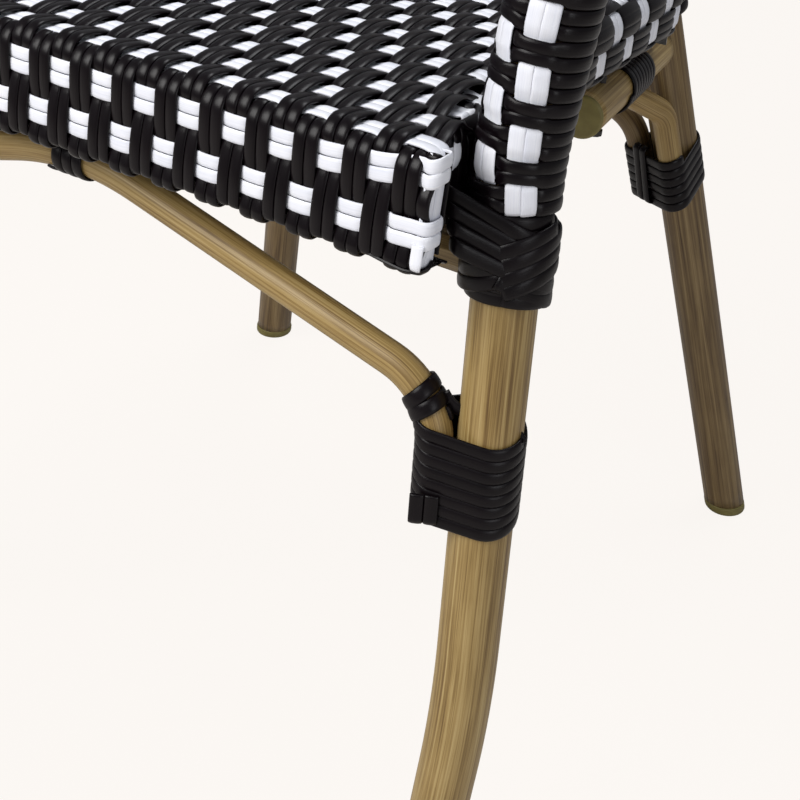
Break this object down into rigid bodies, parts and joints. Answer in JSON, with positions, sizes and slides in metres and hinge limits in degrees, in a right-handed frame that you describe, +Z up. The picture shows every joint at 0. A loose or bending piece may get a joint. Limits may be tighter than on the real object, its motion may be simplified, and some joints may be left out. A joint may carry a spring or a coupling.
{
  "type": "woven bistro armchair",
  "caption": "Outdoor bistro armchair: splayed bamboo-look metal tube frame, woven seat, arms and back in black and white flat strip, arched braces with lashed joints.",
  "frame": {"origin": "on the floor, at the middle of the chair's footprint", "axes": "+Z up, -Y towards the sitter's knees (the front of the chair), +X to the right as seen from the front"},
  "size_m": [0.5242, 0.5354, 0.9063],
  "materials": {
    "bamboo_tube": "satin bamboo-look print on aluminium tube",
    "dark_bamboo_tube": "satin darker bamboo-look print on aluminium tube",
    "foot_plastic": "matt olive moulded plastic",
    "check_weave": "satin black and white flat strip woven in checks",
    "black_strip": "satin black flat strip",
    "bare_metal": "mill finish"
  },
  "bodies": {
    "root": {"arm_end_winding_left": "black_strip", "arm_end_winding_right": "black_strip", "back_apex_lashing": "black_strip", "back_arch_brace": "dark_bamboo_tube", "back_cross_bearer": "dark_bamboo_tube", "back_foot_cap_left": "foot_plastic", "back_foot_cap_right": "foot_plastic", "back_hoop": "bamboo_tube", "back_leg_and_post_left": "dark_bamboo_tube", "back_leg_and_post_right": "dark_bamboo_tube", "back_leg_lashing_left": "black_strip", "back_leg_lashing_right": "black_strip", "back_lower_rail": "bamboo_tube", "back_seat_screw_left": "bare_metal", "back_seat_screw_right": "bare_metal", "bearer_lashing_left": "black_strip", "bearer_lashing_right": "black_strip", "bearer_plug_left": "foot_plastic", "bearer_plug_right": "foot_plastic", "front_apex_lashing": "black_strip", "front_arch_brace": "bamboo_tube", "front_arch_collar_left": "black_strip", "front_arch_collar_right": "black_strip", "front_cross_bearer": "bamboo_tube", "front_foot_cap_left": "foot_plastic", "front_foot_cap_right": "foot_plastic", "front_leg_and_arm_left": "bamboo_tube", "front_leg_and_arm_right": "bamboo_tube", "front_leg_lashing_left": "black_strip", "front_leg_lashing_right": "black_strip", "front_seat_screw_left": "bare_metal", "front_seat_screw_right": "bare_metal", "lower_post_winding_left": "black_strip", "lower_post_winding_right": "black_strip", "post_spigot_left": "bare_metal", "post_spigot_right": "bare_metal", "seat_back_rail": "bare_metal", "seat_cross_tube_back": "bare_metal", "seat_cross_tube_front": "bare_metal", "seat_front_rail": "bare_metal", "seat_side_rail_left": "bare_metal", "seat_side_rail_right": "bare_metal", "side_bearer_left": "bamboo_tube", "side_bearer_right": "bamboo_tube", "side_knee_brace_left": "bamboo_tube", "side_knee_brace_right": "bamboo_tube", "upper_post_winding_left": "black_strip", "upper_post_winding_right": "black_strip", "woven_arm_sleeve_left": "check_weave", "woven_arm_sleeve_right": "check_weave", "woven_back_panel": "check_weave", "woven_back_sleeve": "check_weave", "woven_seat": "check_weave"}
  },
  "joints": []
}
